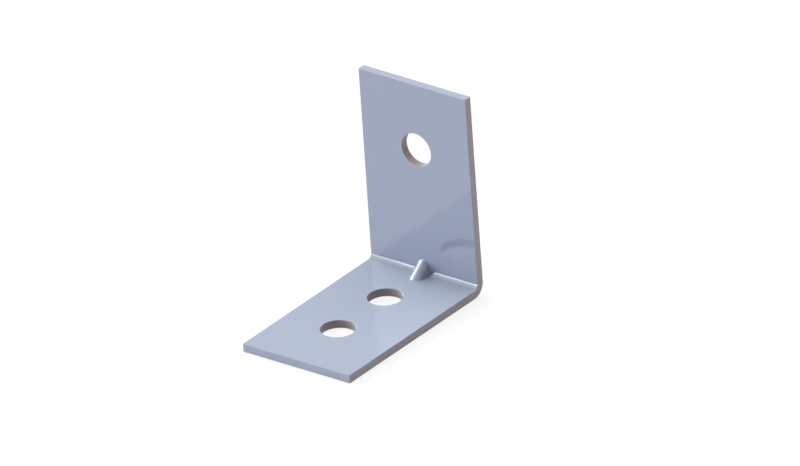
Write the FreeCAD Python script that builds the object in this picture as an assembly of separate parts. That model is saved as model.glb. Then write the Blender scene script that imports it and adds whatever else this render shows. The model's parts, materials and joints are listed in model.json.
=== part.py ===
# Reinforced angle bracket: one strip of 2 mm steel, folded once into an L with equal legs.
#
# One leg lies flat as the base and carries two bolt holes. The other stands upright behind it and
# carries one. A dart is pressed into the middle of the fold from outside: it stands proud in the
# inside corner as a sloping rib, and leaves a groove across the outside of the fold.
#
# Millimetres and degrees. X runs across the width, -Y towards the free end of the base, +Z up.
# The origin is in the middle of the footprint, on the underside of the base. The part is first
# drawn from its heel, where the planes of the back and the underside meet, at Y 0 and Z 0.

import FreeCAD
import Part
import math
import os

# Driving dimensions of the folded strip
leg_length = 50.0            # each leg, over the outside of the fold
leg_width = 30.0
sheet = 2.0                  # thickness of the strip
inside_fold_radius = 1.25
edge_break = 0.05            # rounding left on the sheared edges and the hole rims

# Bolt holes, punched square through the sheet; reaches are from the heel to the hole's centre
hole_diameter = 8.2
upright_hole_reach = 33.3
outer_base_hole_reach = 33.25
inner_base_hole_reach = 15.7
base_hole_shift = -0.8       # the two base holes stand this far to the left of the middle

# The pressed dart; run and rise are from the inside corner to the two ends of its crest
dart_run = 4.5               # along the base
dart_rise = 3.4              # up the upright
dart_nose_radius = 2.0
dart_flank_angle = 4.0       # each flank leans this far from the dart's middle plane
dart_foot_radius = 0.3       # blend from the dart into the legs
crest_wall = 1.8             # metal between the crest and the root of the groove behind it
groove_root_radius = 0.9
groove_flank_angle = 12.0
groove_lip_radius = 0.4      # rounding where the groove opens in the outside faces

# Sizes that follow from the ones above
outside_fold_radius = inside_fold_radius + sheet
half_width = leg_width / 2
crest_slope = math.atan2(dart_rise, dart_run)
crest_direction = FreeCAD.Vector(0, math.cos(crest_slope), math.sin(crest_slope))
crest_normal = FreeCAD.Vector(0, -math.sin(crest_slope), math.cos(crest_slope))
across = FreeCAD.Vector(1, 0, 0)


def side_point(y, z, x=0.0):
    """A point of the L-shaped side view."""
    return FreeCAD.Vector(x, y, z)


def line(start, end):
    return Part.LineSegment(start, end).toShape()


def fold_arc(radius, centre_y, centre_z):
    """A quarter arc of the fold, from below its centre round to behind it."""
    slant = radius * math.sqrt(0.5)
    below = side_point(centre_y, centre_z - radius)
    middle = side_point(centre_y + slant, centre_z - slant)
    behind = side_point(centre_y + radius, centre_z)
    return Part.Arc(below, middle, behind).toShape()


def extrude_across(edges, length):
    """Turns a closed side view into a solid of this length, centred across the width."""
    face = Part.Face(Part.Wire(edges))
    face.translate(across * (-length / 2))
    return face.extrude(across * length)


def folded_strip():
    """The plain L, with its sheared edges broken."""
    fold_centre = outside_fold_radius
    outside = fold_arc(outside_fold_radius, -fold_centre, fold_centre)
    inside = fold_arc(inside_fold_radius, -fold_centre, fold_centre)
    edges = [
        line(side_point(-leg_length, 0), side_point(-fold_centre, 0)),
        outside,
        line(side_point(0, fold_centre), side_point(0, leg_length)),
        line(side_point(0, leg_length), side_point(-sheet, leg_length)),
        line(side_point(-sheet, leg_length), side_point(-sheet, fold_centre)),
        inside,
        line(side_point(-fold_centre, sheet), side_point(-leg_length, sheet)),
        line(side_point(-leg_length, sheet), side_point(-leg_length, 0)),
    ]
    strip = extrude_across(edges, leg_width)
    return strip.makeFillet(edge_break, sheared_edges(strip))


def sheared_edges(strip):
    """Every edge of the plain L apart from the four lines where the fold runs into the flats."""
    found = []
    for edge in strip.Edges:
        middle = edge.valueAt((edge.FirstParameter + edge.LastParameter) / 2)
        on_a_side = abs(abs(middle.x) - half_width) < 1e-6
        on_base_end = abs(middle.y + leg_length) < 1e-6
        on_upright_end = abs(middle.z - leg_length) < 1e-6
        if on_a_side or on_base_end or on_upright_end:
            found.append(edge)
    return found


def punch(centre, direction):
    """What one punched hole takes away: a round bore that flares where its rims are rounded."""
    radius = hole_diameter / 2
    flare = radius + edge_break
    face_height = sheet / 2
    clear_height = sheet
    slant = edge_break * (1 - math.sqrt(0.5))

    def at(out, height):
        return centre + across * out + direction * height

    def rim(side):
        on_face = at(flare, side * face_height)
        between = at(radius + slant, side * (face_height - slant))
        on_bore = at(radius, side * (face_height - edge_break))
        return on_face, between, on_bore

    low_face, low_between, low_bore = rim(-1)
    high_face, high_between, high_bore = rim(1)
    profile = Part.Face(Part.Wire([
        line(at(0, -clear_height), at(flare, -clear_height)),
        line(at(flare, -clear_height), low_face),
        Part.Arc(low_face, low_between, low_bore).toShape(),
        line(low_bore, high_bore),
        Part.Arc(high_bore, high_between, high_face).toShape(),
        line(high_face, at(flare, clear_height)),
        line(at(flare, clear_height), at(0, clear_height)),
        line(at(0, clear_height), at(0, -clear_height)),
    ]))
    return profile.revolve(centre, direction, 360)


def dart_section(apex, nose_radius, flank_angle, depth):
    """A rounded V seen along the crest: its nose is at apex, and it opens away from the nose."""
    lean = math.radians(flank_angle)
    nose_centre = apex - crest_normal * nose_radius
    tangent_out = nose_radius * math.cos(lean)
    tangent_up = nose_radius * math.sin(lean)
    foot_out = tangent_out + (depth - nose_radius + tangent_up) * math.tan(lean)
    left_tangent = nose_centre - across * tangent_out + crest_normal * tangent_up
    right_tangent = nose_centre + across * tangent_out + crest_normal * tangent_up
    left_foot = apex - across * foot_out - crest_normal * depth
    right_foot = apex + across * foot_out - crest_normal * depth
    return Part.Face(Part.Wire([
        line(left_foot, left_tangent),
        Part.Arc(left_tangent, apex, right_tangent).toShape(),
        line(right_tangent, right_foot),
        line(right_foot, left_foot),
    ]))


def crest_start():
    """The lower end of the crest, on the top face of the base."""
    return side_point(-sheet - dart_run, sheet)


def dart_prism(drop, nose_radius, flank_angle):
    """The rounded V carried along the crest, drop below it, and well past both legs."""
    reach = dart_run + dart_rise + 2 * outside_fold_radius
    middle = crest_start() + crest_direction * (math.hypot(dart_run, dart_rise) / 2)
    apex = middle - crest_normal * drop - crest_direction * reach
    section = dart_section(apex, nose_radius, flank_angle, reach)
    return section.extrude(crest_direction * (2 * reach))


def inside_of_sheet():
    """All that lies inside the middle surface of the strip: what the dart may fill."""
    skin = sheet / 2
    radius = outside_fold_radius - skin
    centre = outside_fold_radius
    edges = [
        line(side_point(-leg_length, skin), side_point(-centre, skin)),
        fold_arc(radius, -centre, centre),
        line(side_point(-skin, centre), side_point(-skin, leg_length)),
        line(side_point(-skin, leg_length), side_point(-leg_length, skin)),
    ]
    return extrude_across(edges, leg_width)


def raise_dart(solid):
    """Adds the rib in the inside corner and blends its foot into the legs and the fold."""
    prism = dart_prism(0.0, dart_nose_radius, dart_flank_angle)
    solid = solid.fuse(prism.common(inside_of_sheet()))
    return solid.makeFillet(dart_foot_radius, seam_edges(solid, prism))


def press_groove(solid):
    """Cuts the groove behind the rib and rounds its lip."""
    prism = dart_prism(crest_wall, groove_root_radius, groove_flank_angle)
    solid = solid.cut(prism)
    return solid.makeFillet(groove_lip_radius, seam_edges(solid, prism))


def seam_edges(solid, prism):
    """The edges that lie on the skin of the prism, but don't run along it."""
    skin = prism.Shells[0]
    found = []
    for edge in solid.Edges:
        span = edge.LastParameter - edge.FirstParameter
        samples = [edge.valueAt(edge.FirstParameter + span * part) for part in (0.1, 0.5, 0.9)]
        on_skin = all(skin.distToShape(Part.Vertex(p))[0] < 1e-4 for p in samples)
        chord = samples[2] - samples[0]
        along = abs(chord.dot(crest_direction)) > 0.9999 * chord.Length
        if on_skin and not along:
            found.append(edge)
    return found


def bolt_holes():
    """The three punched holes: two up through the base and one back through the upright."""
    mid_sheet = sheet / 2
    up = FreeCAD.Vector(0, 0, 1)
    back = FreeCAD.Vector(0, 1, 0)
    return [
        punch(side_point(-outer_base_hole_reach, mid_sheet, base_hole_shift), up),
        punch(side_point(-inner_base_hole_reach, mid_sheet, base_hole_shift), up),
        punch(side_point(-mid_sheet, upright_hole_reach), back),
    ]


def angle_bracket():
    solid = folded_strip()
    solid = raise_dart(solid)
    solid = press_groove(solid)
    solid = solid.cut(bolt_holes())
    solid.translate(FreeCAD.Vector(0, leg_length / 2, 0))
    return solid


os.makedirs("parts", exist_ok=True)
bracket = angle_bracket()
bracket.exportStep("parts/angle_bracket.step")
print("valid", bracket.isValid(), "solids", len(bracket.Solids), "volume mm3", round(bracket.Volume, 1))
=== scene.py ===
import json
import math

import bmesh
import bpy
from mathutils import Matrix, Vector


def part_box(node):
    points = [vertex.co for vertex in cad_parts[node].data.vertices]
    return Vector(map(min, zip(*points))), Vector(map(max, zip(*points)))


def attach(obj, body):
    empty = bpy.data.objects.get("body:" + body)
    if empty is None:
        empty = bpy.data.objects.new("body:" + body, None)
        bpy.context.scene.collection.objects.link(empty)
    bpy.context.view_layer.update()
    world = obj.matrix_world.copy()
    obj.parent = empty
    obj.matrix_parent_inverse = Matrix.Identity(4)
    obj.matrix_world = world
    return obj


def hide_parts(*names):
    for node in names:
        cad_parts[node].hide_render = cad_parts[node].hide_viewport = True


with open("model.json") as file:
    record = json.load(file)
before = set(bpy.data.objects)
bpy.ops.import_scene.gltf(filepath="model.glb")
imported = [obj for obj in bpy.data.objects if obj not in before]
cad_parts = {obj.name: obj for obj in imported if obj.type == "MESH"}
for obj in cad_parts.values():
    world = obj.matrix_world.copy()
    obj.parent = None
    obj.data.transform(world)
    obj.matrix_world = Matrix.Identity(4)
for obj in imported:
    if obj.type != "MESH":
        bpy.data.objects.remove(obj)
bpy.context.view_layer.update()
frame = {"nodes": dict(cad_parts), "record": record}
scene = bpy.context.scene
print("frame loaded")


# Helpers for node materials

def newNode(tree, kind, place, **settings):
    node = tree.nodes.new(kind)
    node.location = place
    for name, value in settings.items():
        setattr(node, name, value)
    return node


def link(tree, source, outputName, target, inputName):
    tree.links.new(source.outputs[outputName], target.inputs[inputName])


# The steel: bright zinc plate over smooth rolled sheet, with a faint blue passivation, and the
# slit sides and punched walls, rougher where the shear left them dull, in darker, warmer greys
# that are painted shade, for the dim warm light those faces would get

plateSettings = {
    "name": "zincPlate",
    "colour": (0.48, 0.52, 0.635),
    "shadeSpread": 0.02,         # how far the tone drifts from place to place
    "metallic": 0.1,
    "roughness": 0.08,
    "roughnessSpread": 0.02,
    "shine": 0.5,                # how strongly the surface mirrors; 0.5 is the usual
    "coatWeight": 0.3,
    "coatRoughness": 0.03,
    "driftScale": 90.0,          # per metre: clouds about 1 cm across
    "driftDetail": 3.0,
    "grainStretch": (1.0, 1.0, 1.0),
    "grainScale": 2600.0,        # per metre: plating grain about 0.4 mm across
    "grainDetail": 2.0,
    "grainDepth": 0.0000002,     # metres
}

cutShadedSettings = {
    "name": "cutSteelShaded",
    # painted shade: darker and warmer than the plate, for the dim warm light on the slit sides
    "colour": (0.46, 0.4, 0.435),
    "shadeSpread": 0.06,
    "metallic": 0.1,
    "roughness": 0.25,
    "roughnessSpread": 0.04,
    "shine": 0.5,
    "coatWeight": 0.0,
    "coatRoughness": 0.03,
    "driftScale": 500.0,         # per metre: clouds about 2 mm across
    "driftDetail": 3.0,
    "grainStretch": (4.0, 1.0, 1.0),     # along X, Y and Z
    "grainScale": 3000.0,
    "grainDetail": 2.0,
    "grainDepth": 0.0000015,
}

wallShadedSettings = {
    **cutShadedSettings,
    "name": "punchedSteelShaded",
    # painted shade: a warm grey for the dim light on the holes' walls
    "colour": (0.49, 0.43, 0.435),
    "shine": 0.1,                # torn metal, which hardly mirrors
    "metallic": 0.0,
    "roughness": 0.5,
    "grainStretch": (1.0, 1.0, 1.0),
}


def makeSteelMaterial(settings):
    material = bpy.data.materials.new(settings["name"])
    material.use_nodes = True
    tree = material.node_tree
    tree.nodes.clear()
    out = newNode(tree, "ShaderNodeOutputMaterial", (600, 0))
    shader = newNode(tree, "ShaderNodeBsdfPrincipled", (300, 0))
    shader.inputs["Metallic"].default_value = settings["metallic"]
    shader.inputs["Specular IOR Level"].default_value = settings["shine"]
    shader.inputs["Coat Weight"].default_value = settings["coatWeight"]
    shader.inputs["Coat Roughness"].default_value = settings["coatRoughness"]
    link(tree, shader, "BSDF", out, "Surface")

    # slow clouds that drift the tone and the polish together
    where = newNode(tree, "ShaderNodeTexCoord", (-900, 0))
    drift = newNode(tree, "ShaderNodeTexNoise", (-650, 100))
    drift.inputs["Scale"].default_value = settings["driftScale"]
    drift.inputs["Detail"].default_value = settings["driftDetail"]
    link(tree, where, "Object", drift, "Vector")

    tone = newNode(tree, "ShaderNodeMapRange", (-400, 200))
    tone.inputs["To Min"].default_value = 1 - settings["shadeSpread"]
    tone.inputs["To Max"].default_value = 1 + settings["shadeSpread"]
    link(tree, drift, "Fac", tone, "Value")
    colour = newNode(tree, "ShaderNodeVectorMath", (-150, 200), operation="SCALE")
    colour.inputs[0].default_value = settings["colour"]
    link(tree, tone, "Result", colour, "Scale")
    link(tree, colour, "Vector", shader, "Base Color")

    polish = newNode(tree, "ShaderNodeMapRange", (-400, -50))
    polish.inputs["To Min"].default_value = settings["roughness"] - settings["roughnessSpread"]
    polish.inputs["To Max"].default_value = settings["roughness"] + settings["roughnessSpread"]
    link(tree, drift, "Fac", polish, "Value")
    link(tree, polish, "Result", shader, "Roughness")

    # fine grain, as bump only
    stretch = newNode(tree, "ShaderNodeMapping", (-650, -300))
    stretch.inputs["Scale"].default_value = settings["grainStretch"]
    link(tree, where, "Object", stretch, "Vector")
    grain = newNode(tree, "ShaderNodeTexNoise", (-400, -300))
    grain.inputs["Scale"].default_value = settings["grainScale"]
    grain.inputs["Detail"].default_value = settings["grainDetail"]
    link(tree, stretch, "Vector", grain, "Vector")
    bump = newNode(tree, "ShaderNodeBump", (0, -300))
    bump.inputs["Strength"].default_value = 1.0
    bump.inputs["Distance"].default_value = settings["grainDepth"]
    link(tree, grain, "Fac", bump, "Height")
    link(tree, bump, "Normal", shader, "Normal")
    return material


# The bracket: the folded strip, its loose triangles joined into one smooth skin

bracketSettings = {
    "mergeDistance": 0.000001,
    "sharpAngle": math.radians(50),
    "flatWeight": 100,           # how far the wide flat faces lead the shading of the roundings
    "sideLean": 0.95,            # a face that points this squarely to the side is a slit side
    "sideReach": 0.0001,         # and it lies this near the side's plane, in metres
    "wallReach": 1.005,          # a hole's wall lies within this share of its radius
    "wallLean": 0.5,             # and points no further along the hole than this
}


def finishAndShadeOf(face, settings, holes, halfWidth):
    # 0 for the plate, 1 for a slit side, 2 for a hole's wall; 1 and 2 get rougher steel in darker,
    # warmer greys of painted shade
    middle = face.calc_center_median()
    offSide = abs(abs(middle.x) - halfWidth)
    if abs(face.normal.x) > settings["sideLean"] and offSide < settings["sideReach"]:
        return 1
    for centre, axis, radius in holes:
        out = middle - centre
        out = out - axis * out.dot(axis)
        lean = abs(face.normal.dot(axis))
        if out.length < radius * settings["wallReach"] and lean < settings["wallLean"]:
            return 2
    return 0


def makeBracket(settings):
    node = frame["nodes"]["angle_bracket"]
    work = bmesh.new()
    work.from_mesh(node.data)
    bmesh.ops.remove_doubles(work, verts=work.verts, dist=settings["mergeDistance"])
    bores = [mount for mount in frame["record"]["mounts"] if mount["kind"] == "bore"]
    holes = [
        (Vector(bore["pos_m"]), Vector(bore["axis"]), bore["dims"]["r_mm"] / 1000)
        for bore in bores
    ]
    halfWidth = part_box("angle_bracket")[1].x
    for face in work.faces:
        face.smooth = True
        face.material_index = finishAndShadeOf(face, settings, holes, halfWidth)
    mesh = bpy.data.meshes.new("foldedBracket")
    work.to_mesh(mesh)
    work.free()
    mesh.set_sharp_from_angle(angle=settings["sharpAngle"])
    piece = bpy.data.objects.new("foldedBracket", mesh)
    scene.collection.objects.link(piece)
    smoother = piece.modifiers.new("flatFacesLead", "WEIGHTED_NORMAL")
    smoother.keep_sharp = True
    smoother.weight = settings["flatWeight"]
    for finish in (plateSettings, cutShadedSettings, wallShadedSettings):    # in the order of finishAndShadeOf
        mesh.materials.append(makeSteelMaterial(finish))
    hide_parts("angle_bracket")
    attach(piece, "root")


makeBracket(bracketSettings)
print("bracket made")


# Floor: a pale studio sheet that looks white and keeps a light shadow of the bracket

floorSettings = {
    "halfWidth": 3.0,
    "gap": 0.00002,              # below the bracket's underside, so that the two don't share a plane
    "glow": 0.8,                 # the share of the white that a shadow can't take away
    "seenShade": 0.2,            # the rest of it, lit by the lamps
    "bounceShade": 0.55,         # what the floor throws back on the bracket
}


def grey(shade):
    return (shade, shade, shade, 1.0)


def makeFloorMaterial(settings):
    material = bpy.data.materials.new("studioSheet")
    material.use_nodes = True
    tree = material.node_tree
    tree.nodes.clear()
    out = newNode(tree, "ShaderNodeOutputMaterial", (700, 0))

    # the camera, mirrors and glass see the white
    path = newNode(tree, "ShaderNodeLightPath", (-500, 300))
    cameraOrGloss = newNode(tree, "ShaderNodeMath", (-250, 300), operation="MAXIMUM")
    link(tree, path, "Is Camera Ray", cameraOrGloss, 0)
    link(tree, path, "Is Glossy Ray", cameraOrGloss, 1)
    seen = newNode(tree, "ShaderNodeMath", (0, 300), operation="MAXIMUM")
    link(tree, cameraOrGloss, "Value", seen, 0)
    link(tree, path, "Is Transmission Ray", seen, 1)

    glow = newNode(tree, "ShaderNodeEmission", (-250, 0))
    glow.inputs["Strength"].default_value = settings["glow"]
    sheet = newNode(tree, "ShaderNodeBsdfDiffuse", (-250, -150))
    sheet.inputs["Color"].default_value = grey(settings["seenShade"])
    bright = newNode(tree, "ShaderNodeAddShader", (50, -50))
    link(tree, glow, "Emission", bright, 0)
    link(tree, sheet, "BSDF", bright, 1)
    plain = newNode(tree, "ShaderNodeBsdfDiffuse", (50, -250))
    plain.inputs["Color"].default_value = grey(settings["bounceShade"])
    choose = newNode(tree, "ShaderNodeMixShader", (400, 0))
    link(tree, seen, "Value", choose, 0)
    link(tree, plain, "BSDF", choose, 1)
    link(tree, bright, "Shader", choose, 2)
    link(tree, choose, "Shader", out, "Surface")
    return material


def makeFloor(settings):
    work = bmesh.new()
    bmesh.ops.create_grid(work, x_segments=1, y_segments=1, size=settings["halfWidth"])
    bmesh.ops.translate(work, verts=work.verts, vec=(0, 0, -settings["gap"]))
    mesh = bpy.data.meshes.new("studioFloor")
    work.to_mesh(mesh)
    work.free()
    floor = bpy.data.objects.new("studioFloor", mesh)
    scene.collection.objects.link(floor)
    mesh.materials.append(makeFloorMaterial(settings))


makeFloor(floorSettings)
print("floor made")


# Light: a soft studio room with windows to the left and in front and a faint skylight, a large panel
# of lamps overhead, and a weak warm one in front

windowSettings = [
    {"name": "leftWindow", "toward": (-0.955, 0.15, 0.25),
     "tightness": 14, "light": (9.8, 10.9, 11.5)},
    {"name": "sideWindow", "toward": (-0.75, -0.5, 0.43),
     "tightness": 30, "light": (2.6, 3.8, 4.3)},
    {"name": "cornerWindow", "toward": (-0.555, -0.827, 0.09),     # draws the fold's bright line
     "tightness": 600, "light": (14.0, 13.4, 13.2)},
    {"name": "frontWindow", "toward": (-0.25, -0.968, 0.0),
     "tightness": 60, "light": (1.6, 1.7, 6.8)},
    {"name": "skylight", "toward": (-0.555, -0.3, 0.77),
     "tightness": 12, "light": (0.8, 0.63, 0.42)},
]

lampSettings = [
    {"name": "overheadPanel", "place": (0.0, 0.2, 0.9), "aim": (0, 0, 0.02), "size": 0.9,
     "power": 7.45, "colour": (0.97, 0.965, 1.0)},
    {"name": "frontPanel", "place": (-0.5, -0.75, 0.45), "aim": (0, 0, 0.02), "size": 0.5,
     "power": 0.65, "colour": (1.0, 0.76, 0.1)},
]


def addWindow(tree, where, settings, row):
    # a round glow that fades away from its own direction, faster where it is tighter
    lean = newNode(tree, "ShaderNodeVectorMath", (-600, row), operation="DOT_PRODUCT")
    lean.inputs[1].default_value = Vector(settings["toward"]).normalized()
    link(tree, where, "Generated", lean, 0)
    facing = newNode(tree, "ShaderNodeMath", (-400, row), operation="MAXIMUM")
    facing.inputs[1].default_value = 0.0
    link(tree, lean, "Value", facing, 0)
    falloff = newNode(tree, "ShaderNodeMath", (-200, row), operation="POWER")
    falloff.inputs[1].default_value = settings["tightness"]
    link(tree, facing, "Value", falloff, 0)
    shine = newNode(tree, "ShaderNodeBackground", (0, row))
    shine.label = settings["name"]
    shine.inputs["Color"].default_value = (*settings["light"], 1.0)
    link(tree, falloff, "Value", shine, "Strength")
    return shine


def makeWorld(windows):
    world = bpy.data.worlds.new("studioRoom")
    world.use_nodes = True
    tree = world.node_tree
    tree.nodes.clear()
    out = newNode(tree, "ShaderNodeOutputWorld", (1200, 0))
    where = newNode(tree, "ShaderNodeTexCoord", (-800, 0))
    step = 200                   # between neighbours in the node editor
    total = None
    for index, settings in enumerate(windows):
        shine = addWindow(tree, where, settings, -step * index)
        if total is None:
            total = shine.outputs["Background"]
            continue
        both = newNode(tree, "ShaderNodeAddShader", (step * index, -step * index))
        tree.links.new(total, both.inputs[0])
        link(tree, shine, "Background", both, 1)
        total = both.outputs["Shader"]
    tree.links.new(total, out.inputs["Surface"])
    scene.world = world


def aimedAt(place, target):
    return (Vector(target) - Vector(place)).to_track_quat("-Z", "Y").to_matrix().to_4x4()


def makeLamp(settings):
    data = bpy.data.lights.new(settings["name"], "AREA")
    data.shape = "SQUARE"
    data.size = settings["size"]
    data.energy = settings["power"]
    data.color = settings["colour"]
    lamp = bpy.data.objects.new(settings["name"], data)
    turn = aimedAt(settings["place"], settings["aim"])
    lamp.matrix_world = Matrix.Translation(settings["place"]) @ turn
    scene.collection.objects.link(lamp)


makeWorld(windowSettings)
for panel in lampSettings:
    makeLamp(panel)
print("light made")


# Camera: the photograph's parallel view, from the front right and above, rolled a little

cameraSettings = {
    "azimuth": math.radians(38.876),     # how far it stands round to the right of the front
    "elevation": math.radians(27.798),
    "roll": math.radians(-3.937),
    "frameWidth": 0.17963,               # metres across the picture
    "heelRight": -0.006846,              # from the heel's middle to the picture's middle, in metres
    "heelUp": 0.009950,
    "distance": 1.0,
}


def makeCamera(settings):
    azimuth = settings["azimuth"]
    elevation = settings["elevation"]
    back = Vector((
        math.sin(azimuth) * math.cos(elevation),
        -math.cos(azimuth) * math.cos(elevation),
        math.sin(elevation),
    ))
    level = Vector((math.cos(azimuth), math.sin(azimuth), 0))
    upright = back.cross(level)
    right = math.cos(settings["roll"]) * level + math.sin(settings["roll"]) * upright
    up = back.cross(right)
    heel = Vector((0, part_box("angle_bracket")[1].y, 0))
    middle = heel + settings["heelRight"] * right + settings["heelUp"] * up
    data = bpy.data.cameras.new("pictureCamera")
    data.type = "ORTHO"
    data.ortho_scale = settings["frameWidth"]
    camera = bpy.data.objects.new("pictureCamera", data)
    turn = Matrix((right, up, back)).transposed().to_4x4()
    camera.matrix_world = Matrix.Translation(middle + settings["distance"] * back) @ turn
    scene.collection.objects.link(camera)
    scene.camera = camera


makeCamera(cameraSettings)
scene.view_settings.view_transform = "Standard"
print("camera made")
